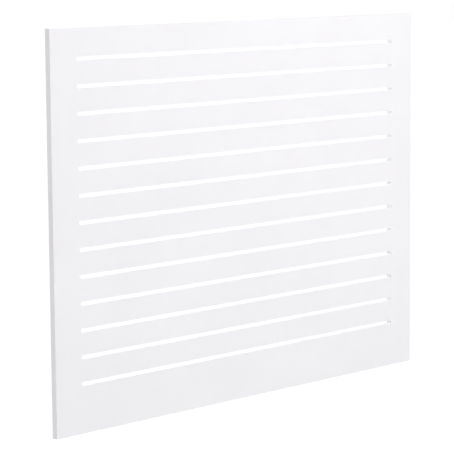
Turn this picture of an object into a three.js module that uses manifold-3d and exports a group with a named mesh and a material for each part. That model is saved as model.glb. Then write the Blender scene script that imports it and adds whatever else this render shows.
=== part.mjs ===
// Slotted radiator cover: one flat white board that hangs in front of a panel radiator.
// Two sliding hooks carry it on the top edge of the radiator's front panel, and two sliding spacers
// with rubber bumpers keep its lower edge off the radiator.
// Millimetres. +Z is up, the room is towards -Y, and +X is to the right as seen from the room.
// The origin is the hang point: midway between the two hook seats, on the plane that they rest on.
import * as THREE from "three";
import { mergeVertices } from "three/addons/utils/BufferGeometryUtils.js";
import Module from "manifold-3d";

const wasm = await Module();
wasm.setup();

// Board
const WIDTH = 800;
const HEIGHT = 600;
const THICKNESS = 10;
const SLOT_HEIGHT = 6;
const SLOT_PITCH = 40;
const SLOT_SIDE_MARGIN = 50; // end of a slot to the side edge of the board
const FIRST_SLOT_DROP = 45; // centre of the first slot below the top edge
const LAST_SLOT_RISE = 75; // least height of the last slot's centre above the bottom edge

// Where the hardware sits on the board
const HANGER_INSET = 120; // centre of a bracket to the side edge
const SEAT_DROP = 24; // hook seats below the top edge
const SPACER_RISE = 36; // underside of a bottom bracket's shelf above the bottom edge
const AIR_GAP = 50; // back of the board to the radiator's front
const THROAT = 20; // room inside a hook for the radiator's front panel

// Angle brackets and straps, bent from strip
const STEEL = 2;
const BEND_RADIUS = 1; // inside of a bend
const CORNER_RADIUS = 4;
const BRACKET_WIDTH = 46;
const SLOT_RIM = 2; // lower edge of a top bracket above the first slot
const SCREW_SPACING = 30;
const STRAP_WIDTH = 20;
const STRAP_LEG = 18; // turned-down end below the shelf's underside
const STRAP_END_EDGE = 3.5; // steel between a strap's free end and its slot
const STRAP_BEND_EDGE = 4.4; // steel between a strap's slot and the spacer's foot
const STRAP_STOP_GAP = 0.5; // strap to board, and shelf to foot, when pushed right in

// Rubber
const PAD_LENGTH = 16;
const PAD_THICKNESS = 2;
const BUMPER_WIDTH = 18;
const BUMPER_HEIGHT = 16;
const BUMPER_THICKNESS = 4;
const RUBBER_CORNER = 2.5;

// Fasteners
const FIT_GAP = 0.3; // round a shank in its hole
const SCREW_DIAMETER = 3.5;
const SCREW_HEAD_DIAMETER = 7;
const SCREW_HEAD_HEIGHT = 2.4;
const SCREW_POINT = 2;
const BOARD_SKIN = 2.5; // board left in front of a screw's point
const PILOT_RELIEF = 0.5; // pilot hole beyond the point
const BOLT_DIAMETER = 5;
const BOLT_CHAMFER = 0.6;
const BOLT_HEAD_DIAMETER = 10;
const BOLT_HEAD_HEIGHT = 3;
const BOLT_STICK_OUT = 2; // bolt beyond the hub of the nut
const HEAD_SIDE = 0.35; // straight side of a pan head, as a share of its height
const HEAD_CROWN = 0.45; // flat crown of a pan head, as a share of its radius
const WASHER_DIAMETER = 10;
const WASHER_THICKNESS = 1;
const NUT_HUB_DIAMETER = 9.5;
const NUT_HUB_TOP_DIAMETER = 8;
const NUT_HUB_HEIGHT = 5;
const WING_SPAN = 26;
const WING_HEIGHT = 11;
const WING_THICKNESS = 2.2;
const WING_LIFT = 0.4; // underside of a wing above the nut's seat
const WING_ROOT_HEIGHT = 4.5; // where the upper edge of a wing meets the hub
const WING_TIP_RADIUS = 1.8;
const WING_TIP_TURN = (Math.PI * 5) / 6; // how far the edge turns round the tip
const WING_BELLY = 2.6; // how far a wing's lower edge bellies in from its tip
const WING_WAIST = 0.58; // place of the dip in the upper edge, as a share of the reach

// Facets: of a full turn, of the round end of a slot, of a rounded corner, and of a curve
const SMALL_ROUND = 16;
const SLOT_END_FACETS = 8;
const CORNER_FACETS = 3;
const CURVE_FACETS = 4;

// How far a cut runs past the face that it opens
const CUT_OVERRUN = 1;

// Places that follow from the sizes above
const boardBack = -(AIR_GAP + THROAT / 2);
const boardTop = SEAT_DROP;
const slotCount = Math.floor((HEIGHT - FIRST_SLOT_DROP - LAST_SLOT_RISE) / SLOT_PITCH) + 1;
const strapSlotWidth = BOLT_DIAMETER + 2 * FIT_GAP;
const footInside = AIR_GAP - BUMPER_THICKNESS - STEEL;
const strapSlotEnd = footInside - STRAP_BEND_EDGE;
const travel = (strapSlotEnd - STRAP_END_EDGE - STRAP_STOP_GAP - strapSlotWidth) / 3;
const strapStart = travel + STRAP_STOP_GAP;
const strapSlotStart = strapStart + STRAP_END_EDGE;
const boltDepth = (strapSlotStart + strapSlotEnd) / 2;
const shelfReach = footInside - BEND_RADIUS - travel - STRAP_STOP_GAP;
const bracketDrop = FIRST_SLOT_DROP - SLOT_HEIGHT / 2 - SEAT_DROP - SLOT_RIM;
const screwDrop = bracketDrop / 2;
const screwBite = THICKNESS - BOARD_SKIN;

// The four brackets: two sides, and two levels given by the underside of the shelf
const sides = [
  { name: "left", x: -(WIDTH / 2 - HANGER_INSET) },
  { name: "right", x: WIDTH / 2 - HANGER_INSET },
];
const levels = [
  { name: "top", shelf: 0 },
  { name: "bottom", shelf: boardTop - HEIGHT + SPACER_RISE },
];

// Finishes
const whiteLacquer = { color: 0xf5f4f8, roughness: 0.38, metalness: 0 };
const zincPlate = { color: 0xb8bdc4, roughness: 0.36, metalness: 1 };
const blackRubber = { color: 0x222326, roughness: 0.85, metalness: 0 };

// A closed geometry as a solid that can be joined and cut
function solid(geometry) {
  const bare = geometry.clone();
  bare.deleteAttribute("normal");
  bare.deleteAttribute("uv");
  const merged = mergeVertices(bare, 1e-4);
  const vertProperties = new Float32Array(merged.attributes.position.array);
  const triVerts = new Uint32Array(merged.index.array);
  return new wasm.Manifold(new wasm.Mesh({ numProp: 3, vertProperties, triVerts }));
}

// A solid back as a geometry
function geometryOf(body) {
  const mesh = body.getMesh();
  const geometry = new THREE.BufferGeometry();
  geometry.setAttribute("position", new THREE.BufferAttribute(mesh.vertProperties, 3));
  geometry.setIndex(new THREE.BufferAttribute(mesh.triVerts, 1));
  const faceted = geometry.toNonIndexed();
  faceted.computeVertexNormals();
  return faceted;
}

// A flat outline given a thickness. The sheet lies across "up" (XY), "front" (XZ) or "side" (YZ),
// and its thickness runs from the given level towards +Z, +Y or +X.
function sheet(shape, thickness, view, level, facets) {
  const geometry = new THREE.ExtrudeGeometry(shape, {
    depth: thickness,
    bevelEnabled: false,
    curveSegments: facets,
  });
  if (view === "front") {
    geometry.rotateX(Math.PI / 2);
    geometry.translate(0, level + thickness, 0);
  } else if (view === "side") {
    const across = new THREE.Matrix4().makeBasis(
      new THREE.Vector3(0, 1, 0),
      new THREE.Vector3(0, 0, 1),
      new THREE.Vector3(1, 0, 0),
    );
    geometry.applyMatrix4(across);
    geometry.translate(level, 0, 0);
  } else {
    geometry.translate(0, 0, level);
  }
  return geometry;
}

// A level slot or oblong with round ends, from x0 to x1 about the height y
function oblong(target, x0, x1, y, height) {
  const radius = height / 2;
  target.moveTo(x0 + radius, y - radius);
  target.lineTo(x1 - radius, y - radius);
  target.absarc(x1 - radius, y, radius, -Math.PI / 2, Math.PI / 2, false);
  target.lineTo(x0 + radius, y + radius);
  target.absarc(x0 + radius, y, radius, Math.PI / 2, Math.PI * 1.5, false);
  return target;
}

// A rectangle whose four corners each have their own radius, in the order of its turn
function roundedRectangle(x0, x1, y0, y1, [lowerLeft, lowerRight, upperRight, upperLeft]) {
  const shape = new THREE.Shape();
  const corner = (x, y, radius, start) => {
    if (radius > 0) {
      shape.absarc(x, y, radius, start, start + Math.PI / 2, false);
    } else {
      shape.lineTo(x, y);
    }
  };
  shape.moveTo(x0 + lowerLeft, y0);
  corner(x1 - lowerRight, y0 + lowerRight, lowerRight, -Math.PI / 2);
  corner(x1 - upperRight, y1 - upperRight, upperRight, 0);
  corner(x0 + upperLeft, y1 - upperLeft, upperLeft, Math.PI / 2);
  corner(x0 + lowerLeft, y0 + lowerLeft, lowerLeft, Math.PI);
  shape.closePath();
  return shape;
}

// A round cutter, centred on the origin, that runs the given depth each way along "y" or "z"
function drill(diameter, depth, axis) {
  const geometry = new THREE.CylinderGeometry(diameter / 2, diameter / 2, 2 * depth, SMALL_ROUND);
  if (axis === "z") {
    geometry.rotateX(Math.PI / 2);
  }
  return geometry;
}

// A turned piece from its outline: radius and height pairs, about the Y axis
function turned(outline) {
  return new THREE.LatheGeometry(outline.map(([r, y]) => new THREE.Vector2(r, y)), SMALL_ROUND);
}

// The outline of a pan head from its seat at 0 to its crown: a straight side, a round shoulder and
// a flat top
function panHead(diameter, height) {
  const radius = diameter / 2;
  const crown = radius * HEAD_CROWN;
  const side = height * HEAD_SIDE;
  const outline = [[radius, 0]];
  for (let step = 0; step <= CURVE_FACETS; step += 1) {
    const turn = ((Math.PI / 2) * step) / CURVE_FACETS;
    outline.push([crown + (radius - crown) * Math.cos(turn), side + (height - side) * Math.sin(turn)]);
  }
  outline.push([0, height]);
  return outline;
}

// Where the two screws of each bracket are, across the board and above the seats
function screwPlaces() {
  const places = [];
  for (const level of levels) {
    for (const side of sides) {
      for (const hand of [-1, 1]) {
        places.push([side.x + (hand * SCREW_SPACING) / 2, level.shelf - screwDrop]);
      }
    }
  }
  return places;
}

// The board, with its slots and the blind pilot holes for the bracket screws in its back
function boardGeometry() {
  const boardBottom = boardTop - HEIGHT;
  const outline = roundedRectangle(-WIDTH / 2, WIDTH / 2, boardBottom, boardTop, [0, 0, 0, 0]);
  for (let index = 0; index < slotCount; index += 1) {
    const slotCentre = boardTop - FIRST_SLOT_DROP - index * SLOT_PITCH;
    const slotEnd = WIDTH / 2 - SLOT_SIDE_MARGIN;
    outline.holes.push(oblong(new THREE.Path(), -slotEnd, slotEnd, slotCentre, SLOT_HEIGHT));
  }
  let board = solid(sheet(outline, THICKNESS, "front", boardBack - THICKNESS, SLOT_END_FACETS));
  const pilotDepth = screwBite + PILOT_RELIEF;
  for (const [x, z] of screwPlaces()) {
    const pilot = drill(SCREW_DIAMETER + 2 * FIT_GAP, pilotDepth, "y");
    pilot.translate(x, boardBack, z);
    board = board.subtract(solid(pilot));
  }
  return geometryOf(board);
}

// A strip bent once: a level part from start to the bend, then straight down to the bottom
function bentStrip(start, end, underside, bottom, width) {
  const top = underside + STEEL;
  const outer = BEND_RADIUS + STEEL;
  const profile = new THREE.Shape();
  profile.moveTo(start, underside);
  profile.lineTo(end - STEEL - BEND_RADIUS, underside);
  profile.absarc(end - outer, top - outer, BEND_RADIUS, Math.PI / 2, 0, true);
  profile.lineTo(end - STEEL, bottom);
  profile.lineTo(end, bottom);
  profile.absarc(end - outer, top - outer, outer, 0, Math.PI / 2, false);
  profile.lineTo(start, top);
  profile.closePath();
  return solid(sheet(profile, width, "side", -width / 2, CURVE_FACETS));
}

// An angle bracket. Its shelf reaches back from the board, with its underside at 0, and carries the
// strap; its other leg hangs down flat against the board and takes two screws.
function bracketGeometry() {
  const half = BRACKET_WIDTH / 2;
  const round = CORNER_RADIUS;
  const bent = bentStrip(-shelfReach, 0, 0, -bracketDrop, BRACKET_WIDTH).mirror([0, 1, 0]);
  const plan = roundedRectangle(-half, half, 0, shelfReach, [0, 0, round, round]);
  const front = roundedRectangle(-half, half, -bracketDrop, STEEL, [round, round, 0, 0]);
  const planBlock = sheet(plan, bracketDrop + STEEL, "up", -bracketDrop, CORNER_FACETS);
  const frontBlock = sheet(front, shelfReach, "front", 0, CORNER_FACETS);
  let bracket = bent.intersect(solid(planBlock)).intersect(solid(frontBlock));
  const boltHole = drill(strapSlotWidth, STEEL + CUT_OVERRUN, "z");
  boltHole.translate(0, boltDepth, 0);
  bracket = bracket.subtract(solid(boltHole));
  for (const hand of [-1, 1]) {
    const screwHole = drill(SCREW_DIAMETER + 2 * FIT_GAP, STEEL + CUT_OVERRUN, "y");
    screwHole.translate((hand * SCREW_SPACING) / 2, 0, -screwDrop);
    bracket = bracket.subtract(solid(screwHole));
  }
  return geometryOf(bracket);
}

// A slotted strap that lies on a bracket's shelf and turns down at its far end, whose inner face is
// the given distance behind the board
function strapGeometry(legInside) {
  const half = STRAP_WIDTH / 2;
  const end = legInside + STEEL;
  const top = 2 * STEEL;
  const round = CORNER_RADIUS;
  const plan = roundedRectangle(-half, half, strapStart, end, [round, round, 0, 0]);
  const front = roundedRectangle(-half, half, -STRAP_LEG, top, [round, round, 0, 0]);
  const planBlock = sheet(plan, STRAP_LEG + top, "up", -STRAP_LEG, CORNER_FACETS);
  const frontBlock = sheet(front, end, "front", 0, CORNER_FACETS);
  const slotPath = oblong(new THREE.Shape(), strapSlotStart, strapSlotEnd, 0, strapSlotWidth);
  const slotBlock = sheet(slotPath, top + CUT_OVERRUN, "up", 0, SLOT_END_FACETS);
  slotBlock.rotateZ(Math.PI / 2);
  const strap = bentStrip(strapStart, end, STEEL, -STRAP_LEG, STRAP_WIDTH)
    .intersect(solid(planBlock))
    .intersect(solid(frontBlock))
    .subtract(solid(slotBlock));
  return geometryOf(strap);
}

// A pan-head wood screw: its head rests on y = 0 and its point is towards -Y
function woodScrewGeometry() {
  const shank = SCREW_DIAMETER / 2;
  const length = STEEL + screwBite;
  const outline = [
    [0, -length],
    [shank, -length + SCREW_POINT],
    [shank, 0],
  ];
  return turned([...outline, ...panHead(SCREW_HEAD_DIAMETER, SCREW_HEAD_HEIGHT)]);
}

// A clamp bolt: its head is below z = 0 and its shank stands up through shelf, strap, washer and nut
function clampBoltGeometry() {
  const shank = BOLT_DIAMETER / 2;
  const length = 2 * STEEL + WASHER_THICKNESS + NUT_HUB_HEIGHT + BOLT_STICK_OUT;
  const outline = [
    [0, -length],
    [shank - BOLT_CHAMFER, -length],
    [shank, -length + BOLT_CHAMFER],
    [shank, 0],
  ];
  const bolt = turned([...outline, ...panHead(BOLT_HEAD_DIAMETER, BOLT_HEAD_HEIGHT)]);
  bolt.rotateX(-Math.PI / 2);
  return bolt;
}

// A round ring standing on z = 0, with a straight bore
function ring(bore, lowerDiameter, upperDiameter, height) {
  const geometry = turned([
    [bore / 2, 0],
    [lowerDiameter / 2, 0],
    [upperDiameter / 2, height],
    [bore / 2, height],
    [bore / 2, 0],
  ]);
  geometry.rotateX(Math.PI / 2);
  return geometry;
}

function washerGeometry() {
  return ring(strapSlotWidth, WASHER_DIAMETER, WASHER_DIAMETER, WASHER_THICKNESS);
}

// The outline of one wing of a wing nut, seen from the front and reaching out towards +X
function wingOutline() {
  const reach = WING_SPAN / 2;
  const root = NUT_HUB_TOP_DIAMETER / 2;
  const tipX = reach - WING_TIP_RADIUS;
  const tipY = WING_HEIGHT - WING_TIP_RADIUS;
  const wing = new THREE.Shape();
  wing.moveTo(0, WING_LIFT);
  wing.lineTo(root, WING_LIFT);
  wing.quadraticCurveTo(reach - WING_BELLY, 2 * WING_LIFT, reach, tipY);
  wing.absarc(tipX, tipY, WING_TIP_RADIUS, 0, WING_TIP_TURN, false);
  wing.quadraticCurveTo(reach * WING_WAIST, tipY - WING_TIP_RADIUS, root, WING_ROOT_HEIGHT);
  wing.lineTo(0, WING_ROOT_HEIGHT);
  wing.closePath();
  return wing;
}

// A wing nut standing on z = 0: a tapered hub with a clear bore and two raised wings
function wingNutGeometry() {
  const wing = solid(sheet(wingOutline(), WING_THICKNESS, "front", -WING_THICKNESS / 2, CURVE_FACETS));
  const bore = solid(drill(strapSlotWidth, WING_HEIGHT, "z"));
  const hub = solid(ring(strapSlotWidth, NUT_HUB_DIAMETER, NUT_HUB_TOP_DIAMETER, NUT_HUB_HEIGHT));
  const wings = wing.add(wing.mirror([1, 0, 0])).subtract(bore);
  return geometryOf(hub.add(wings));
}

// A rubber pad under a hook strap, over the radiator's edge, its lower face on z = 0
function padGeometry() {
  const radius = RUBBER_CORNER;
  const half = STRAP_WIDTH / 2;
  const near = AIR_GAP + (THROAT - PAD_LENGTH) / 2;
  const outline = roundedRectangle(-half, half, near, near + PAD_LENGTH, [radius, radius, radius, radius]);
  return sheet(outline, PAD_THICKNESS, "up", 0, CORNER_FACETS);
}

// A rubber bumper on the outer face of a spacer's foot
function bumperGeometry() {
  const radius = RUBBER_CORNER;
  const half = BUMPER_WIDTH / 2;
  const low = -STRAP_LEG + (STRAP_LEG - BUMPER_HEIGHT) / 2;
  const outline = roundedRectangle(-half, half, low, low + BUMPER_HEIGHT, [radius, radius, radius, radius]);
  return sheet(outline, BUMPER_THICKNESS, "front", AIR_GAP - BUMPER_THICKNESS, CORNER_FACETS);
}

const cover = new THREE.Group();

function addPiece(parent, name, geometry, finish, x = 0, y = 0, z = 0) {
  const mesh = new THREE.Mesh(geometry, new THREE.MeshStandardMaterial(finish));
  mesh.name = name;
  mesh.position.set(x, y, z);
  parent.add(mesh);
}

// One bracket with its two screws, clamp bolt, washer and wing nut
function addBracketSet(place, name) {
  addPiece(place, `${name}_bracket`, bracketGeometry(), zincPlate);
  const half = SCREW_SPACING / 2;
  addPiece(place, `${name}_bracket_screw_a`, woodScrewGeometry(), zincPlate, -half, STEEL, -screwDrop);
  addPiece(place, `${name}_bracket_screw_b`, woodScrewGeometry(), zincPlate, half, STEEL, -screwDrop);
  addPiece(place, `${name}_clamp_bolt`, clampBoltGeometry(), zincPlate, 0, boltDepth, 0);
  addPiece(place, `${name}_washer`, washerGeometry(), zincPlate, 0, boltDepth, 2 * STEEL);
  const nutSeat = 2 * STEEL + WASHER_THICKNESS;
  addPiece(place, `${name}_wing_nut`, wingNutGeometry(), zincPlate, 0, boltDepth, nutSeat);
}

addPiece(cover, "slotted_panel", boardGeometry(), whiteLacquer);

for (const level of levels) {
  for (const side of sides) {
    const place = new THREE.Group();
    place.position.set(side.x, boardBack, level.shelf);
    addBracketSet(place, `${level.name}_${side.name}`);
    if (level.name === "top") {
      addPiece(place, `hook_strap_${side.name}`, strapGeometry(AIR_GAP + THROAT), zincPlate);
      addPiece(place, `hook_pad_${side.name}`, padGeometry(), blackRubber);
    } else {
      addPiece(place, `spacer_strap_${side.name}`, strapGeometry(footInside), zincPlate);
      addPiece(place, `bumper_${side.name}`, bumperGeometry(), blackRubber);
    }
    cover.add(place);
  }
}

export default cover;
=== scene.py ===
import math

import bmesh
import bpy
from mathutils import Matrix, Vector


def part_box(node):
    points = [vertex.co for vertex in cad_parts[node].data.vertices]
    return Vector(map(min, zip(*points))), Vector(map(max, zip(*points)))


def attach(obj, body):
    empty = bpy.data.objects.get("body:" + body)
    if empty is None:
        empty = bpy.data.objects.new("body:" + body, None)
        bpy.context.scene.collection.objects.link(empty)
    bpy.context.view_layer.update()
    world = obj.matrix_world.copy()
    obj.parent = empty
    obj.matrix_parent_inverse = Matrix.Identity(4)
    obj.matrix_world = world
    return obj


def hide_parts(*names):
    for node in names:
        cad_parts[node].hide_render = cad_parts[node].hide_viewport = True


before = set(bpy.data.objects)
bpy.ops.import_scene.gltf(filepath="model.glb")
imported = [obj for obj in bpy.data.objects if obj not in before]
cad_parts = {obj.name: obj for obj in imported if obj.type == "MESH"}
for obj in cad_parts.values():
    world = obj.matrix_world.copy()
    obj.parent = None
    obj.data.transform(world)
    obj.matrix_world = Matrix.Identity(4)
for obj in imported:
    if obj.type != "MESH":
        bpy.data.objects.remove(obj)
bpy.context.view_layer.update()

# A slotted radiator cover: one flat lacquered board that hangs in front of a panel radiator. Metres,
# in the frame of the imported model: +Z is up and the room is towards -Y.

# ---- Camera ----
# The photograph's viewpoint: in the room, well to the board's left and a little above its middle,
# through a long lens that keeps the board's upright edges nearly parallel.
CAMERA_PLACE = Vector((-2.287, -2.326, 0.133))
CAMERA_TURN = math.radians(44.815)
CAMERA_DIP = math.radians(7.703)
CAMERA_ROLL = math.radians(-0.446)
CAMERA_LENS = 162.2
CAMERA_REACH = 500
SENSOR_WIDTH = 36

bpy.ops.object.camera_add()
camera = bpy.context.object
camera.name = "camera"
camera.data.lens = CAMERA_LENS
camera.data.sensor_width = SENSOR_WIDTH
camera.data.clip_end = CAMERA_REACH
camera.matrix_world = (
    Matrix.Translation(CAMERA_PLACE)
    @ Matrix.Rotation(-CAMERA_TURN, 4, "Z")
    @ Matrix.Rotation(math.pi / 2 - CAMERA_DIP, 4, "X")
    @ Matrix.Rotation(CAMERA_ROLL, 4, "Z")
)
bpy.context.scene.camera = camera

# ---- Board ----
# One flat sheet of 10 mm fibreboard. Its slots have round ends and are milled right through with a
# 6 mm cutter, its edges are eased, and it is sprayed with white satin lacquer on all sides. Blind
# pilot holes in the back take the bracket screws. The walls of the slots get a much paler copy of the
# lacquer: painted light that stands in for the light falling into the slots.
SLOT_COUNT = 13
SLOT_HEIGHT = 0.006
SLOT_PITCH = 0.040
SLOT_SIDE_MARGIN = 0.050
FIRST_SLOT_DROP = 0.045
ROUND_END_STEPS = 16
PILOT_DIAMETER = 0.0030
PILOT_CLEAR = 0.0005
PILOT_STEPS = 32
CUT_OVERRUN = 0.002
EASED_EDGE = 0.0006
EASED_STEPS = 3
LACQUER_PALE = (0.826, 0.814, 0.838, 1)
LACQUER_DEEP = (0.810, 0.798, 0.823, 1)
# The slot walls' colour is painted light: far paler than the face lacquer, so that the slots look lit
# inside.
SLOT_PAINTED_LIGHT_COLOR = (0.965, 0.960, 0.972, 1)
FACE_ROUGHNESS = (0.33, 0.41)
SLOT_ROUGHNESS = (0.40, 0.52)
FACE_PEEL_DEPTH = 0.000012
SLOT_PEEL_DEPTH = 0.000020
PEEL_TO_GRIT = 6

# The lacquer's noises, each with its grains per metre and its layers of detail.
LACQUER_CLOUDS = (9, 3)
LACQUER_HAZE = (55, 4)
LACQUER_PEEL = (620, 1)
LACQUER_GRIT = (2600, 2)

# How far a direction has to follow an axis to count as along it, the gap that closes between two
# vertices, the angle from which an edge is sharp, and the span that most of a noise lies in.
ALONG = 0.9
CLOSED_GAP = 1e-7
SHARP_EDGE = math.radians(35)
SMALL_EDGE_STEPS = 2
NOISE_LOW = 0.35
NOISE_HIGH = 0.65


def deselect():
    bpy.ops.object.select_all(action="DESELECT")


def select(piece):
    """Makes a piece the active one, with nothing else selected."""
    deselect()
    piece.select_set(True)
    bpy.context.view_layer.objects.active = piece


def settle(piece, name):
    """Names a piece and puts its place in its mesh, so that its object sits at the origin."""
    select(piece)
    bpy.ops.object.transform_apply(location=True, rotation=True, scale=True)
    piece.name = name
    return piece


def block(low, high, name):
    """A block between two corners."""
    deselect()
    size = Vector(high) - Vector(low)
    middle = (Vector(high) + Vector(low)) / 2
    bpy.ops.mesh.primitive_cube_add(size=1, location=middle, scale=size)
    return settle(bpy.context.object, name)


def rod(diameter, start, end, steps, name):
    """A round rod from a start to an end point."""
    deselect()
    way = Vector(end) - Vector(start)
    bpy.ops.mesh.primitive_cylinder_add(
        vertices=steps,
        radius=diameter / 2,
        depth=way.length,
        location=(Vector(start) + Vector(end)) / 2,
        rotation=way.to_track_quat("Z", "X").to_euler(),
    )
    return settle(bpy.context.object, name)


def edit(piece):
    """Opens a piece in edit mode with nothing selected."""
    select(piece)
    bpy.ops.object.mode_set(mode="EDIT")
    bpy.ops.mesh.select_all(action="DESELECT")


def leave_edit():
    bpy.ops.object.mode_set(mode="OBJECT")


def pick_edges(test):
    """In edit mode, selects only the edges whose middle and direction pass the test."""
    bpy.ops.mesh.select_mode(type="EDGE")
    bpy.ops.mesh.select_all(action="DESELECT")
    mesh = bpy.context.object.data
    for edge in bmesh.from_edit_mesh(mesh).edges:
        start, end = (vertex.co for vertex in edge.verts)
        edge.select_set(bool(test((start + end) / 2, (end - start).normalized())))
    bmesh.update_edit_mesh(mesh)


def pick_faces(test):
    """In edit mode, selects only the faces whose middle and normal pass the test."""
    bpy.ops.mesh.select_mode(type="FACE")
    bpy.ops.mesh.select_all(action="DESELECT")
    mesh = bpy.context.object.data
    for face in bmesh.from_edit_mesh(mesh).faces:
        face.select_set(bool(test(face.calc_center_median(), face.normal)))
    bmesh.update_edit_mesh(mesh)


def round_edges(piece, test, radius, steps):
    """Rounds the edges that pass the test."""
    edit(piece)
    pick_edges(test)
    bpy.ops.mesh.bevel(offset=radius, segments=steps, affect="EDGES")
    bpy.ops.mesh.select_all(action="SELECT")
    bpy.ops.mesh.remove_doubles(threshold=CLOSED_GAP)
    leave_edit()


def finish_with(piece, kind, **settings):
    """Adds a modifier to a piece and applies it."""
    select(piece)
    modifier = piece.modifiers.new(kind.lower(), kind)
    for setting, value in settings.items():
        setattr(modifier, setting, value)
    bpy.ops.object.modifier_apply(modifier=modifier.name)


def repeat(piece, count, step):
    """Repeats a piece in equal steps, all in one mesh."""
    finish_with(
        piece,
        "ARRAY",
        count=count,
        use_relative_offset=False,
        use_constant_offset=True,
        constant_offset_displace=step,
    )


def combine(piece, other, way="DIFFERENCE"):
    """Cuts, joins or crosses a piece with another one, which is then gone."""
    finish_with(piece, "BOOLEAN", operation=way, solver="EXACT", object=other)
    bpy.data.objects.remove(other)


def smooth(piece, sharp):
    """Smooth shading up to an angle, led by the larger faces so that flat ones stay flat."""
    select(piece)
    bpy.ops.object.shade_smooth_by_angle(angle=sharp)
    finish_with(piece, "WEIGHTED_NORMAL", mode="FACE_AREA", keep_sharp=True)


def ease(piece, width, steps=SMALL_EDGE_STEPS):
    """Eases all sharp edges of a piece and smooths what is round."""
    finish_with(
        piece,
        "BEVEL",
        width=width,
        segments=steps,
        limit_method="ANGLE",
        angle_limit=SHARP_EDGE,
    )
    smooth(piece, SHARP_EDGE)


def new_material(name):
    """An empty material: its node tree, its surface shader and its object coordinates."""
    material = bpy.data.materials.new(name)
    material.use_nodes = True
    tree = material.node_tree
    tree.nodes.clear()
    shader = tree.nodes.new("ShaderNodeBsdfPrincipled")
    output = tree.nodes.new("ShaderNodeOutputMaterial")
    tree.links.new(shader.outputs["BSDF"], output.inputs["Surface"])
    place = tree.nodes.new("ShaderNodeTexCoord").outputs["Object"]
    return material, tree, shader, place


def noise(tree, place, grains, detail, stretch=(1, 1, 1)):
    """Noise on the piece's own coordinates, with about the given number of grains per metre."""
    mapping = tree.nodes.new("ShaderNodeMapping")
    mapping.inputs["Scale"].default_value = stretch
    tree.links.new(place, mapping.inputs["Vector"])
    texture = tree.nodes.new("ShaderNodeTexNoise")
    texture.inputs["Scale"].default_value = grains
    texture.inputs["Detail"].default_value = detail
    tree.links.new(mapping.outputs["Vector"], texture.inputs["Vector"])
    return texture.outputs["Fac"]


def between(tree, factor, low, high, from_low=NOISE_LOW, from_high=NOISE_HIGH):
    """A number that goes from low to high with a noise."""
    spread = tree.nodes.new("ShaderNodeMapRange")
    spread.inputs["From Min"].default_value = from_low
    spread.inputs["From Max"].default_value = from_high
    spread.inputs["To Min"].default_value = low
    spread.inputs["To Max"].default_value = high
    tree.links.new(factor, spread.inputs["Value"])
    return spread.outputs["Result"]


def blend_colors(tree, factor, first, second):
    """A colour that goes from the first to the second with a noise."""
    ramp = tree.nodes.new("ShaderNodeValToRGB")
    ramp.color_ramp.elements[0].position = NOISE_LOW
    ramp.color_ramp.elements[0].color = first
    ramp.color_ramp.elements[1].position = NOISE_HIGH
    ramp.color_ramp.elements[1].color = second
    tree.links.new(factor, ramp.inputs["Fac"])
    return ramp.outputs["Color"]


def bump(tree, height, depth, under=None):
    """A relief of the given depth in metres, laid over another relief."""
    relief = tree.nodes.new("ShaderNodeBump")
    relief.inputs["Strength"].default_value = 1
    relief.inputs["Distance"].default_value = depth
    tree.links.new(height, relief.inputs["Height"])
    if under:
        tree.links.new(under, relief.inputs["Normal"])
    return relief.outputs["Normal"]


def satin_lacquer(name, pale, deep, roughness, peel_depth):
    """Sprayed satin lacquer: faint clouds in its white, a fine orange peel and an uneven gloss."""
    material, tree, shader, place = new_material(name)
    clouds = noise(tree, place, *LACQUER_CLOUDS)
    haze = noise(tree, place, *LACQUER_HAZE)
    peel = noise(tree, place, *LACQUER_PEEL)
    grit = noise(tree, place, *LACQUER_GRIT)
    tree.links.new(blend_colors(tree, clouds, deep, pale), shader.inputs["Base Color"])
    tree.links.new(between(tree, haze, *roughness), shader.inputs["Roughness"])
    relief = bump(tree, grit, peel_depth / PEEL_TO_GRIT, bump(tree, peel, peel_depth))
    tree.links.new(relief, shader.inputs["Normal"])
    return material


board_low, board_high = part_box("slotted_panel")
board_back = board_high.y
first_slot = board_high.z - FIRST_SLOT_DROP
last_slot = first_slot - (SLOT_COUNT - 1) * SLOT_PITCH
slot_end = board_high.x - SLOT_SIDE_MARGIN
bracket_nodes = [
    f"{level}_{side}_bracket" for level in ("top", "bottom") for side in ("left", "right")
]
board = block(board_low, board_high, "board")

# The board is parted along the middle of every slot, so that no face runs all round a slot.
edit(board)
for index in range(SLOT_COUNT):
    bpy.ops.mesh.select_all(action="SELECT")
    bpy.ops.mesh.bisect(plane_co=(0, 0, first_slot - index * SLOT_PITCH), plane_no=(0, 0, 1))
leave_edit()

cutter = block(
    (-slot_end, board_low.y - CUT_OVERRUN, first_slot - SLOT_HEIGHT / 2),
    (slot_end, board_back + CUT_OVERRUN, first_slot + SLOT_HEIGHT / 2),
    "slot_cutter",
)
round_edges(cutter, lambda middle, way: abs(way.y) > ALONG, SLOT_HEIGHT / 2, ROUND_END_STEPS)
repeat(cutter, SLOT_COUNT, (0, 0, -SLOT_PITCH))
combine(board, cutter)

for bracket_node in bracket_nodes:
    for hand in ("a", "b"):
        screw_low, screw_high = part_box(f"{bracket_node}_screw_{hand}")
        axis = (screw_low + screw_high) / 2
        hole_end = Vector((axis.x, screw_low.y - PILOT_CLEAR, axis.z))
        hole_start = Vector((axis.x, board_back + CUT_OVERRUN, axis.z))
        combine(board, rod(PILOT_DIAMETER, hole_end, hole_start, PILOT_STEPS, "pilot"))

ease(board, EASED_EDGE, EASED_STEPS)
board.data.materials.append(
    satin_lacquer("face_lacquer", LACQUER_PALE, LACQUER_DEEP, FACE_ROUGHNESS, FACE_PEEL_DEPTH)
)
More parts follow.
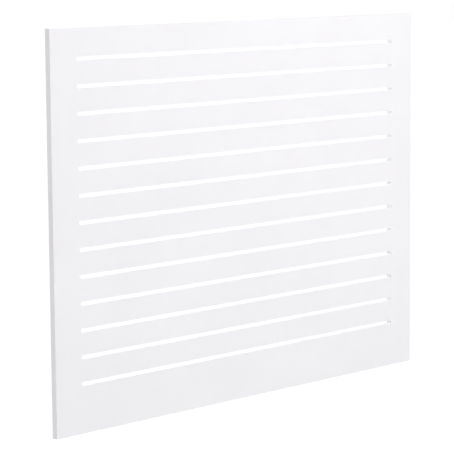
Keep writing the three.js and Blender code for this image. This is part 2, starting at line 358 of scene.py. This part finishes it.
# The slot walls' lacquer is a paler copy of the face lacquer: painted light for the light falling into the
# slots.
board.data.materials.append(
    satin_lacquer("slot_lacquer_painted_light", SLOT_PAINTED_LIGHT_COLOR, SLOT_PAINTED_LIGHT_COLOR, SLOT_ROUGHNESS, SLOT_PEEL_DEPTH)
)


def is_slot_wall(middle, normal):
    """The walls of the slots, with their eased rims, which get the paler lacquer as painted light."""
    within = last_slot - SLOT_HEIGHT < middle.z < first_slot + SLOT_HEIGHT
    return within and abs(middle.x) < slot_end + EASED_EDGE and abs(normal.y) < ALONG


# The slot walls are given the paler lacquer, which is painted light.
edit(board)
pick_faces(is_slot_wall)
board.active_material_index = 1
bpy.ops.object.material_slot_assign()
leave_edit()
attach(board, "cover")
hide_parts("slotted_panel")

# ---- Angle brackets ----
# Four angles folded from 46 mm wide, 2 mm zinc-plated strip, blanked with rounded corners and
# punched for one clamp bolt and two screws. The short leg lies flat on the back of the board, and
# the shelf reaches back from it to carry a strap.
STEEL = 0.002
BEND_RADIUS = 0.001
BEND_STEPS = 6
CORNER_RADIUS = 0.004
CORNER_STEPS = 6
PUNCH_STEPS = 48
SHEARED_EDGE = 0.00025
BOLT_HOLE = 0.0056
SCREW_HOLE = 0.0041
NEAR = 1e-5
ZINC_PALE = (0.56, 0.58, 0.61, 1)
ZINC_DEEP = (0.43, 0.455, 0.50, 1)
ZINC_SPECK = (0.27, 0.28, 0.31, 1)
STRIP_ROUGHNESS = (0.34, 0.48)
STRIP_CLOUDS = (120, 4)
STRIP_LINES = (1, 2)
LINE_STRETCH = (5200, 90, 90)
STRIP_SPECKS = (1400, 0)
SPECK_RANGE = (0.74, 0.82)
SPECK_STRENGTH = 0.35
CLOUD_DEPTH = 0.00003
LINE_DEPTH = 0.000006


def rolled_zinc():
    """Bright zinc plate on rolled strip: fine lines along the strip, soft clouds and a few specks."""
    material, tree, shader, place = new_material("rolled_zinc")
    clouds = noise(tree, place, *STRIP_CLOUDS)
    lines = noise(tree, place, *STRIP_LINES, stretch=LINE_STRETCH)
    specks = noise(tree, place, *STRIP_SPECKS)
    cloudy = blend_colors(tree, clouds, ZINC_DEEP, ZINC_PALE)
    mix = tree.nodes.new("ShaderNodeMix")
    mix.data_type = "RGBA"
    tree.links.new(between(tree, specks, 0, SPECK_STRENGTH, *SPECK_RANGE), mix.inputs["Factor"])
    tree.links.new(cloudy, mix.inputs["A"])
    mix.inputs["B"].default_value = ZINC_SPECK
    tree.links.new(mix.outputs["Result"], shader.inputs["Base Color"])
    tree.links.new(between(tree, lines, *STRIP_ROUGHNESS), shader.inputs["Roughness"])
    relief = bump(tree, lines, LINE_DEPTH, bump(tree, clouds, CLOUD_DEPTH))
    tree.links.new(relief, shader.inputs["Normal"])
    shader.inputs["Metallic"].default_value = 1
    return material


def extrude(step):
    """In edit mode, pulls the selection out by a step."""
    bpy.ops.mesh.extrude_region_move(TRANSFORM_OT_translate={"value": step})


def turn(piece, angle, axis):
    """Turns a piece's mesh about the origin."""
    edit(piece)
    bpy.ops.mesh.select_all(action="SELECT")
    bpy.ops.transform.rotate(value=angle, orient_axis=axis, center_override=(0, 0, 0))
    leave_edit()


def bent_strip(start, end, underside, bottom, width, name):
    """A level strip that is folded down at its far end. The fold is rounded inside and outside."""
    top = underside + STEEL
    inner = end - STEEL
    strip = block((-width / 2, start, underside), (width / 2, end, top), name)
    edit(strip)
    bpy.ops.mesh.select_all(action="SELECT")
    bpy.ops.mesh.bisect(plane_co=(0, inner, 0), plane_no=(0, 1, 0))
    pick_faces(lambda middle, normal: normal.z < -ALONG and middle.y > inner)
    extrude((0, 0, bottom - underside))
    leave_edit()

    def is_fold(middle, way, fold_y, fold_z):
        along = abs(way.x) > ALONG
        return along and abs(middle.y - fold_y) < NEAR and abs(middle.z - fold_z) < NEAR

    round_edges(strip, lambda middle, way: is_fold(middle, way, inner, underside), BEND_RADIUS, BEND_STEPS)
    outer_radius = BEND_RADIUS + STEEL
    round_edges(strip, lambda middle, way: is_fold(middle, way, end, top), outer_radius, BEND_STEPS)
    return strip


def round_strip_ends(strip, start, bottom):
    """Rounds the four corners of a folded strip: two at its level end and two at its foot."""

    def is_corner(middle, way):
        at_start = abs(way.z) > ALONG and abs(middle.y - start) < NEAR
        at_foot = abs(way.y) > ALONG and abs(middle.z - bottom) < NEAR
        return at_start or at_foot

    round_edges(strip, is_corner, CORNER_RADIUS, CORNER_STEPS)


def set_place(node_name):
    """The point of a bracket that its set is measured from: mid width, board back, shelf underside."""
    low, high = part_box(node_name)
    return Vector(((low.x + high.x) / 2, board_back, high.z - STEEL))


def put(pattern, name, place, body, node_name):
    """A copy of a modelled piece with its own mesh, put in place and tied to its body."""
    select(pattern)
    bpy.ops.object.duplicate()
    piece = bpy.context.object
    piece.location = place
    settle(piece, name)
    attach(piece, body)
    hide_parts(node_name)


sets = {}
for bracket_node in bracket_nodes:
    sets[bracket_node.removesuffix("_bracket")] = set_place(bracket_node)

bracket_low, bracket_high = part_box("top_left_bracket")
shelf_reach = bracket_high.y - bracket_low.y
bracket_width = bracket_high.x - bracket_low.x
bracket_drop = bracket_high.z - bracket_low.z - STEEL
bolt_low, bolt_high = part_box("top_left_clamp_bolt")
bolt_depth = (bolt_low.y + bolt_high.y) / 2 - board_back
screw_low, screw_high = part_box("top_left_bracket_screw_b")
screw_offset = (screw_low.x + screw_high.x) / 2 - sets["top_left"].x
screw_drop = sets["top_left"].z - (screw_low.z + screw_high.z) / 2

# A bracket is folded like a strap, with its short leg at the far end, and then turned round.
bracket = bent_strip(-shelf_reach, 0, 0, -bracket_drop, bracket_width, "bracket")
round_strip_ends(bracket, -shelf_reach, -bracket_drop)
turn(bracket, math.pi, "Z")
punch_start = -CUT_OVERRUN
punch_end = STEEL + CUT_OVERRUN
hole_low = (0, bolt_depth, punch_start)
hole_high = (0, bolt_depth, punch_end)
combine(bracket, rod(BOLT_HOLE, hole_low, hole_high, PUNCH_STEPS, "punch"))
for x in (-screw_offset, screw_offset):
    hole_front = (x, punch_start, -screw_drop)
    hole_back = (x, punch_end, -screw_drop)
    combine(bracket, rod(SCREW_HOLE, hole_front, hole_back, PUNCH_STEPS, "punch"))
ease(bracket, SHEARED_EDGE)
strip_zinc = rolled_zinc()
bracket.data.materials.append(strip_zinc)
for set_name, place in sets.items():
    put(bracket, f"bracket_{set_name}", place, "cover", f"{set_name}_bracket")
bpy.data.objects.remove(bracket)

# ---- Bracket screws ----
# Eight 3.5 mm pan-head wood screws with a cross recess, turned and thread-rolled from steel wire and
# zinc-plated. Each pair holds a bracket to the back of the board and stops short of its face.
SCREW_DIAMETER = 0.0035
SCREW_CORE = 0.0023
SCREW_PITCH = 0.0014
SCREW_POINT = 0.0035
SCREW_TIP = 0.08
HEAD_ROUND = 0.0015
HEAD_STEPS = 6
RECESS_SPAN = 0.0036
RECESS_ARM = 0.0010
RECESS_DEPTH = 0.0014
RECESS_TAPER = 0.55
THREAD_STEPS = 24
CREST_SHARE = 0.12
SEAM_FINENESS = 1000
BLANK_CLEAR = 0.0003
BLANK_RISE = 0.00075
THREAD_SHARP_EDGE = math.radians(40)
TURNED_CLOUDS = (420, 3)
TURNED_PITS = (4200, 2)
SCREW_ROUGHNESS = (0.24, 0.36)
TURNED_PIT_DEPTH = 0.000004


def turned_zinc(name, pale, deep, roughness, pit_depth):
    """Zinc plate on a small turned or cast piece: fine pits and an uneven gloss."""
    material, tree, shader, place = new_material(name)
    clouds = noise(tree, place, *TURNED_CLOUDS)
    pits = noise(tree, place, *TURNED_PITS)
    tree.links.new(blend_colors(tree, clouds, deep, pale), shader.inputs["Base Color"])
    tree.links.new(between(tree, clouds, *roughness), shader.inputs["Roughness"])
    tree.links.new(bump(tree, pits, pit_depth), shader.inputs["Normal"])
    shader.inputs["Metallic"].default_value = 1
    return material


def threaded_rod(outer, core, pitch, low, high, name):
    """A rod along Z with a helical thread: one tooth is swept round and up, and its ends are closed."""
    turns = math.ceil((high - low) / pitch) + 1
    flank = (outer - core) / 2
    crest = pitch * CREST_SHARE
    rise = (pitch - crest) / 2
    seam = pitch / SEAM_FINENESS
    deselect()
    bpy.ops.mesh.primitive_plane_add(size=pitch, location=(0, 0, 0))
    piece = bpy.context.object
    edit(piece)
    bpy.ops.mesh.select_mode(type="VERT")
    bpy.ops.mesh.select_all(action="SELECT")
    bpy.ops.mesh.merge(type="CENTER")
    bpy.ops.transform.translate(value=(core / 2, 0, low - pitch / 2))
    for step in ((flank, 0, rise), (0, 0, crest), (-flank, 0, rise)):
        bpy.ops.mesh.extrude_vertices_move(TRANSFORM_OT_translate={"value": step})
    leave_edit()
    finish_with(
        piece,
        "SCREW",
        screw_offset=pitch,
        iterations=turns,
        steps=THREAD_STEPS,
        render_steps=THREAD_STEPS,
        use_merge_vertices=True,
        merge_threshold=seam,
    )
    edit(piece)
    bpy.ops.mesh.select_all(action="SELECT")
    bpy.ops.mesh.remove_doubles(threshold=seam)
    bpy.ops.mesh.select_mode(type="EDGE")
    bpy.ops.mesh.select_all(action="DESELECT")
    bpy.ops.mesh.select_non_manifold()
    bpy.ops.mesh.fill_holes(sides=0)
    bpy.ops.mesh.select_all(action="SELECT")
    bpy.ops.mesh.quads_convert_to_tris()
    bpy.ops.mesh.normals_make_consistent(inside=False)
    leave_edit()
    return settle(piece, name)


def pan_head(diameter, height, name):
    """A pan head on z = 0 with a rounded shoulder and a tapered cross recess in its top."""
    head = rod(diameter, (0, 0, 0), (0, 0, height), PUNCH_STEPS, name)

    def is_top_rim(middle, way):
        return abs(way.z) < ALONG and abs(middle.z - height) < NEAR

    round_edges(head, is_top_rim, HEAD_ROUND, HEAD_STEPS)
    for span_x, span_y in ((RECESS_SPAN, RECESS_ARM), (RECESS_ARM, RECESS_SPAN)):
        arm = block(
            (-span_x / 2, -span_y / 2, height - RECESS_DEPTH),
            (span_x / 2, span_y / 2, height + CUT_OVERRUN),
            "recess",
        )
        edit(arm)
        pick_faces(lambda middle, normal: normal.z < -ALONG)
        bpy.ops.transform.resize(value=(RECESS_TAPER, RECESS_TAPER, 1), center_override=(0, 0, 0))
        leave_edit()
        combine(head, arm)
    return head


def screw_blank(length, diameter, point, tip, name):
    """The outline that a thread is cut to: a wider rod down from z = 0 with a tapered end."""
    blank = rod(diameter + BLANK_CLEAR, (0, 0, -length), (0, 0, BLANK_RISE), PUNCH_STEPS, name)
    edit(blank)
    pick_faces(lambda middle, normal: normal.z < -ALONG)
    bpy.ops.transform.translate(value=(0, 0, point))
    extrude((0, 0, -point))
    bpy.ops.transform.resize(value=(tip, tip, 1), center_override=(0, 0, -length))
    leave_edit()
    return blank


screw_head_height = screw_high.y - board_back - STEEL
screw_head_diameter = screw_high.x - screw_low.x
screw_length = screw_high.y - screw_low.y - screw_head_height

# A screw is made standing, with its head up, and then laid along Y with its point to the board.
screw = threaded_rod(SCREW_DIAMETER, SCREW_CORE, SCREW_PITCH, -screw_length, 0, "screw")
blank = screw_blank(screw_length, SCREW_DIAMETER, SCREW_POINT, SCREW_TIP, "blank")
combine(screw, blank, "INTERSECT")
combine(screw, pan_head(screw_head_diameter, screw_head_height, "head"), "UNION")
smooth(screw, THREAD_SHARP_EDGE)
turn(screw, math.pi / 2, "X")
wire_zinc = turned_zinc("screw_zinc", ZINC_PALE, ZINC_DEEP, SCREW_ROUGHNESS, TURNED_PIT_DEPTH)
screw.data.materials.append(wire_zinc)
for set_name, place in sets.items():
    for hand, x in (("a", -screw_offset), ("b", screw_offset)):
        spot = place + Vector((x, STEEL, -screw_drop))
        node_name = f"{set_name}_bracket_screw_{hand}"
        put(screw, f"screw_{set_name}_{hand}", spot, "cover", node_name)
bpy.data.objects.remove(screw)

# ---- Clamp bolts ----
# Four M5 pan-head bolts with a rolled thread, zinc-plated. Each is pushed up through a bracket's
# shelf and a strap's slot, and its wing nut clamps the strap to the shelf.
BOLT_DIAMETER = 0.005
BOLT_CORE = 0.0041
BOLT_PITCH = 0.0008
BOLT_CHAMFER = 0.0006
BOLT_ROUGHNESS = (0.22, 0.34)

bolt_head_height = sets["top_left"].z - bolt_low.z
bolt_head_diameter = bolt_high.x - bolt_low.x
bolt_length = bolt_high.z - sets["top_left"].z
bolt_tip = 1 - 2 * BOLT_CHAMFER / BOLT_DIAMETER

# A bolt is made like a screw and then turned over, because its head lies under the shelf.
bolt = threaded_rod(BOLT_DIAMETER, BOLT_CORE, BOLT_PITCH, -bolt_length, 0, "bolt")
blank = screw_blank(bolt_length, BOLT_DIAMETER, BOLT_CHAMFER, bolt_tip, "blank")
combine(bolt, blank, "INTERSECT")
combine(bolt, pan_head(bolt_head_diameter, bolt_head_height, "head"), "UNION")
smooth(bolt, THREAD_SHARP_EDGE)
turn(bolt, math.pi, "X")
bolt.data.materials.append(
    turned_zinc("bolt_zinc", ZINC_PALE, ZINC_DEEP, BOLT_ROUGHNESS, TURNED_PIT_DEPTH)
)
for set_name, place in sets.items():
    spot = place + Vector((0, bolt_depth, 0))
    put(bolt, f"bolt_{set_name}", spot, "cover", f"{set_name}_clamp_bolt")
bpy.data.objects.remove(bolt)

# ---- Hook and spacer straps ----
# Strips of 20 mm by 2 mm zinc-plated steel with a punched slot for the clamp bolt, lying on the
# shelves. The two long ones are folded down behind the radiator's front panel and carry the cover;
# the two short ones are folded down in front of it and keep the foot of the cover off it.
STRAP_SLOT_EDGE = 0.0035
STRAP_SLOT_LENGTH = 0.0256


def strap(node_name, set_name):
    """A slotted strap with its folded end, about its set's own point."""
    low, high = (corner - sets[set_name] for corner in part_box(node_name))
    piece = bent_strip(low.y, high.y, STEEL, low.z, high.x - low.x, "strap")
    round_strip_ends(piece, low.y, low.z)
    slot_start = low.y + STRAP_SLOT_EDGE
    punch = block(
        (-BOLT_HOLE / 2, slot_start, STEEL - CUT_OVERRUN / 2),
        (BOLT_HOLE / 2, slot_start + STRAP_SLOT_LENGTH, 2 * STEEL + CUT_OVERRUN),
        "punch",
    )
    round_edges(punch, lambda middle, way: abs(way.z) > ALONG, BOLT_HOLE / 2, ROUND_END_STEPS)
    combine(piece, punch)
    ease(piece, SHEARED_EDGE)
    piece.data.materials.append(strip_zinc)
    return piece


for kind, level in (("hook", "top"), ("spacer", "bottom")):
    pattern = strap(f"{kind}_strap_left", f"{level}_left")
    for side in ("left", "right"):
        node_name = f"{kind}_strap_{side}"
        put(pattern, f"{kind}_{side}", sets[f"{level}_{side}"], f"{kind}_{side}", node_name)
    bpy.data.objects.remove(pattern)

# ---- Rubber pads and bumpers ----
# Moulded black rubber, glued to the straps. A pad under each hook grips the top edge of the
# radiator's front panel, and a bumper on each spacer's foot rests against the front. Shallow grooves
# across their bearing faces keep them from slipping.
RUBBER_CORNER = 0.0025
RUBBER_EDGE = 0.00025
GROOVE_COUNT = 4
GROOVE_WIDTH = 0.0011
GROOVE_DEPTH = 0.0006
GROOVE_PITCH = 0.0032
RUBBER_DARK = (0.012, 0.012, 0.013, 1)
RUBBER_WORN = (0.028, 0.028, 0.030, 1)
RUBBER_ROUGHNESS = (0.62, 0.80)
RUBBER_PATCHES = (260, 3)
RUBBER_SKIN = (5200, 2)
RUBBER_SKIN_DEPTH = 0.00002
UP = Vector((0, 0, 1))
BACK = Vector((0, 1, 0))


def moulded_rubber():
    """Matt black rubber: a fine moulded skin with slightly paler rubbed patches."""
    material, tree, shader, place = new_material("moulded_rubber")
    patches = noise(tree, place, *RUBBER_PATCHES)
    skin = noise(tree, place, *RUBBER_SKIN)
    color = blend_colors(tree, patches, RUBBER_DARK, RUBBER_WORN)
    tree.links.new(color, shader.inputs["Base Color"])
    tree.links.new(between(tree, patches, *RUBBER_ROUGHNESS), shader.inputs["Roughness"])
    tree.links.new(bump(tree, skin, RUBBER_SKIN_DEPTH), shader.inputs["Normal"])
    return material


def rubber_block(node_name, set_name, face, across):
    """A moulded block about its set's own point, grooved on the side that faces the radiator."""
    low, high = (corner - sets[set_name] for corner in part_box(node_name))
    piece = block(low, high, "rubber")
    round_edges(piece, lambda middle, way: abs(way.dot(face)) > ALONG, RUBBER_CORNER, CORNER_STEPS)
    bearing = (low + high) / 2 + face * abs((high - low).dot(face)) / 2
    first_groove = bearing - across * GROOVE_PITCH * (GROOVE_COUNT - 1) / 2
    half_groove = Vector((high.x - low.x, 0, 0)) + across * GROOVE_WIDTH / 2
    corners = (
        first_groove - half_groove - face * GROOVE_DEPTH,
        first_groove + half_groove + face * CUT_OVERRUN,
    )
    grooves = block(Vector(map(min, *corners)), Vector(map(max, *corners)), "grooves")
    repeat(grooves, GROOVE_COUNT, across * GROOVE_PITCH)
    combine(piece, grooves)
    ease(piece, RUBBER_EDGE)
    piece.data.materials.append(black_rubber)
    return piece


black_rubber = moulded_rubber()
pad = rubber_block("hook_pad_left", "top_left", -UP, BACK)
bumper = rubber_block("bumper_left", "bottom_left", BACK, UP)
for side in ("left", "right"):
    put(pad, f"pad_{side}", sets[f"top_{side}"], f"hook_{side}", f"hook_pad_{side}")
    spot = sets[f"bottom_{side}"]
    put(bumper, f"rubber_bumper_{side}", spot, f"spacer_{side}", f"bumper_{side}")
bpy.data.objects.remove(pad)
bpy.data.objects.remove(bumper)

# ---- Washers ----
# Four plain M5 washers, stamped from 1 mm steel and zinc-plated, one under each wing nut. A hair of
# play under them lets the straps slide without rubbing.
WASHER_BORE = 0.0053
WASHER_EDGE = 0.00015
WASHER_PLAY = 0.00002

washer_low, washer_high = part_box("top_left_washer")
washer_diameter = washer_high.x - washer_low.x
washer_seat = washer_low.z + WASHER_PLAY - sets["top_left"].z
washer_top = washer_high.z - sets["top_left"].z
washer = rod(washer_diameter, (0, 0, washer_seat), (0, 0, washer_top), PUNCH_STEPS, "washer")
hole_low = (0, 0, washer_seat - CUT_OVERRUN)
hole_high = (0, 0, washer_top + CUT_OVERRUN)
combine(washer, rod(WASHER_BORE, hole_low, hole_high, PUNCH_STEPS, "punch"))
ease(washer, WASHER_EDGE)
washer.data.materials.append(wire_zinc)
for set_name, place in sets.items():
    spot = place + Vector((0, bolt_depth, 0))
    put(washer, f"washer_{set_name}", spot, "cover", f"{set_name}_washer")
bpy.data.objects.remove(washer)

# ---- Wing nuts ----
# Four cast M5 wing nuts, zinc-plated: a tapered hub with two raised wings, all in one casting with
# soft fillets, then bored and tapped.
HUB_DIAMETER = 0.0093
HUB_TOP_DIAMETER = 0.0079
HUB_HEIGHT = 0.005
HUB_STOCK = 0.001
NUT_BORE = 0.0053
NUT_MOUTH = 0.0062
WING_ROOT_X = 0.0030
WING_ROOT_LOW = 0.0004
WING_ROOT_HIGH = 0.0048
WING_ROOT_THICKNESS = 0.0030
WING_LEVELS = 3
CAST_GRAIN = 0.00022
CAST_SOFTENING = 0.5
CAST_SOFTENING_ROUNDS = 8
CAST_SHARP_EDGE = math.radians(45)
CUT_THRESHOLD = 1e-6
CAST_PALE = (0.50, 0.515, 0.54, 1)
CAST_DEEP = (0.38, 0.395, 0.425, 1)
CAST_ROUGHNESS = (0.36, 0.50)
CAST_PIT_DEPTH = 0.000025

# A wing's steps from its root out: how far each goes, how much its lower and its upper edge rise,
# and how much of its thickness is left.
WING_STEPS = (
    (0.0034, 0.0003, 0.0022, 0.90),
    (0.0028, 0.0015, 0.0034, 0.90),
    (0.0024, 0.0026, 0.0016, 0.92),
    (0.0016, 0.0026, -0.0008, 0.92),
)


def cone(low_diameter, high_diameter, low, high, name):
    """A round taper along Z between two levels."""
    deselect()
    bpy.ops.mesh.primitive_cone_add(
        vertices=PUNCH_STEPS,
        radius1=low_diameter / 2,
        radius2=high_diameter / 2,
        depth=high - low,
        location=(0, 0, (low + high) / 2),
    )
    return settle(bpy.context.object, name)


nut_low, nut_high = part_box("top_left_wing_nut")
nut_seat = nut_low.z - sets["top_left"].z
wing_height = nut_high.z - nut_low.z
wing_reach = (nut_high.x - nut_low.x) / 2

# One wing is drawn out of a block step by step, rounded, and brought to its full reach and height.
wing = block(
    (0, -WING_ROOT_THICKNESS / 2, WING_ROOT_LOW),
    (WING_ROOT_X, WING_ROOT_THICKNESS / 2, WING_ROOT_HIGH),
    "wing",
)
edit(wing)
pick_faces(lambda middle, normal: normal.x > ALONG)
reach = WING_ROOT_X
low_edge = WING_ROOT_LOW
high_edge = WING_ROOT_HIGH
for forward, low_rise, high_rise, thinning in WING_STEPS:
    extrude((forward, 0, 0))
    reach += forward
    stretch = 1 + (high_rise - low_rise) / (high_edge - low_edge)
    low_edge += low_rise
    high_edge += high_rise
    bpy.ops.transform.translate(value=(0, 0, (low_rise + high_rise) / 2))
    pivot = (reach, 0, (low_edge + high_edge) / 2)
    bpy.ops.transform.resize(value=(1, thinning, stretch), center_override=pivot)
leave_edit()
finish_with(wing, "SUBSURF", levels=WING_LEVELS, render_levels=WING_LEVELS)
wing_tip = max(vertex.co.x for vertex in wing.data.vertices)
wing_top = max(vertex.co.z for vertex in wing.data.vertices)
edit(wing)
bpy.ops.mesh.select_all(action="SELECT")
grow = (wing_reach / wing_tip, 1, wing_height / wing_top)
bpy.ops.transform.resize(value=grow, center_override=(0, 0, 0))
leave_edit()
finish_with(wing, "MIRROR")

# The hub and both wings become one soft casting, which is faced off at its seat and bored.
nut = cone(HUB_DIAMETER, HUB_TOP_DIAMETER, -HUB_STOCK, HUB_HEIGHT, "nut")
wing.select_set(True)
bpy.ops.object.join()
finish_with(nut, "REMESH", mode="VOXEL", voxel_size=CAST_GRAIN)
finish_with(nut, "SMOOTH", factor=CAST_SOFTENING, iterations=CAST_SOFTENING_ROUNDS)
edit(nut)
bpy.ops.mesh.select_all(action="SELECT")
bpy.ops.mesh.bisect(
    plane_co=(0, 0, 0), plane_no=(0, 0, 1), use_fill=True, clear_inner=True, threshold=CUT_THRESHOLD
)
leave_edit()
combine(nut, rod(NUT_BORE, (0, 0, -CUT_OVERRUN), (0, 0, wing_height), PUNCH_STEPS, "bore"))
hub_top = HUB_HEIGHT - CAST_GRAIN
mouth_depth = (NUT_MOUTH - NUT_BORE) / 2
mouth_width = NUT_MOUTH + 2 * mouth_depth
combine(nut, cone(mouth_width, NUT_BORE, -mouth_depth, mouth_depth, "mouth"))
combine(nut, cone(NUT_BORE, mouth_width, hub_top - mouth_depth, hub_top + mouth_depth, "mouth"))
smooth(nut, CAST_SHARP_EDGE)
nut.data.materials.append(
    turned_zinc("cast_zinc", CAST_PALE, CAST_DEEP, CAST_ROUGHNESS, CAST_PIT_DEPTH)
)
for set_name, place in sets.items():
    spot = place + Vector((0, bolt_depth, nut_seat))
    put(nut, f"nut_{set_name}", spot, f"wing_nut_{set_name}", f"{set_name}_wing_nut")
bpy.data.objects.remove(nut)

# ---- Floor and light ----
# A plain pale floor lies well below the board, in a studio that looks white and lights it faintly.
# Broad lamps shine from high in front, from behind, and from low at the back left into the slots.
# Soft panels lift the board's middle, right and back.
FLOOR_DROP = 4
FLOOR_SIZE = 200
FLOOR_COLOR = (0.96, 0.96, 0.96, 1)
FLOOR_ROUGHNESS = 0.9
STUDIO_COLOR = (1, 1, 1, 1)
STUDIO_STRENGTH = 0.2
BACKDROP_STRENGTH = 1.0

# Each broad lamp's power, and in degrees its height, its turn from the front and its spread.
BROAD_LAMPS = {
    "front_lamp": (2.49, 72, 42, 120),
    "back_lamp": (0.76, 35, 155, 40),
    "left_lamp": (0.25, 10, -135, 30),
}

# Each soft panel's place, the point it is aimed at, its width and height, and its power.
SOFT_PANELS = {
    "front_panel": ((0.15, -1.2, 0.6), (0.05, -0.06, -0.2), (0.8, 0.8), 4.34),
    "right_panel": ((0.9, -1.0, 0.9), (0.2, -0.06, 0.1), (0.8, 0.8), 2.45),
    "back_panel": ((0.1, 1.0, -0.1), (0.1, 0, -0.2), (1.0, 1.2), 2.3),
}

deselect()
bpy.ops.mesh.primitive_plane_add(size=FLOOR_SIZE, location=(0, 0, board_low.z - FLOOR_DROP))
floor = bpy.context.object
floor.name = "floor"
floor_paint, _, shader, _ = new_material("pale_floor")
shader.inputs["Base Color"].default_value = FLOOR_COLOR
shader.inputs["Roughness"].default_value = FLOOR_ROUGHNESS
floor.data.materials.append(floor_paint)

for name, (power, height, bearing, spread) in BROAD_LAMPS.items():
    bpy.ops.object.light_add(type="SUN")
    lamp = bpy.context.object
    lamp.name = name
    lamp.data.energy = power
    lamp.data.angle = math.radians(spread)
    level = math.cos(math.radians(height))
    lamp_from = Vector((
        math.sin(math.radians(bearing)) * level,
        -math.cos(math.radians(bearing)) * level,
        math.sin(math.radians(height)),
    ))
    lamp.rotation_euler = lamp_from.to_track_quat("Z", "Y").to_euler()

for name, (spot, aim, size, power) in SOFT_PANELS.items():
    bpy.ops.object.light_add(type="AREA", location=spot)
    panel = bpy.context.object
    panel.name = name
    panel.data.shape = "RECTANGLE"
    panel.data.size, panel.data.size_y = size
    panel.data.energy = power
    panel.rotation_euler = (Vector(spot) - Vector(aim)).to_track_quat("Z", "Y").to_euler()
    panel.visible_camera = False

world = bpy.data.worlds.new("studio")
bpy.context.scene.world = world
world.use_nodes = True
tree = world.node_tree
background = tree.nodes["Background"]
background.inputs["Color"].default_value = STUDIO_COLOR
seen = tree.nodes.new("ShaderNodeLightPath").outputs["Is Camera Ray"]
brightness = between(tree, seen, STUDIO_STRENGTH, BACKDROP_STRENGTH, 0, 1)
tree.links.new(brightness, background.inputs["Strength"])

bpy.context.scene.view_settings.view_transform = "Standard"
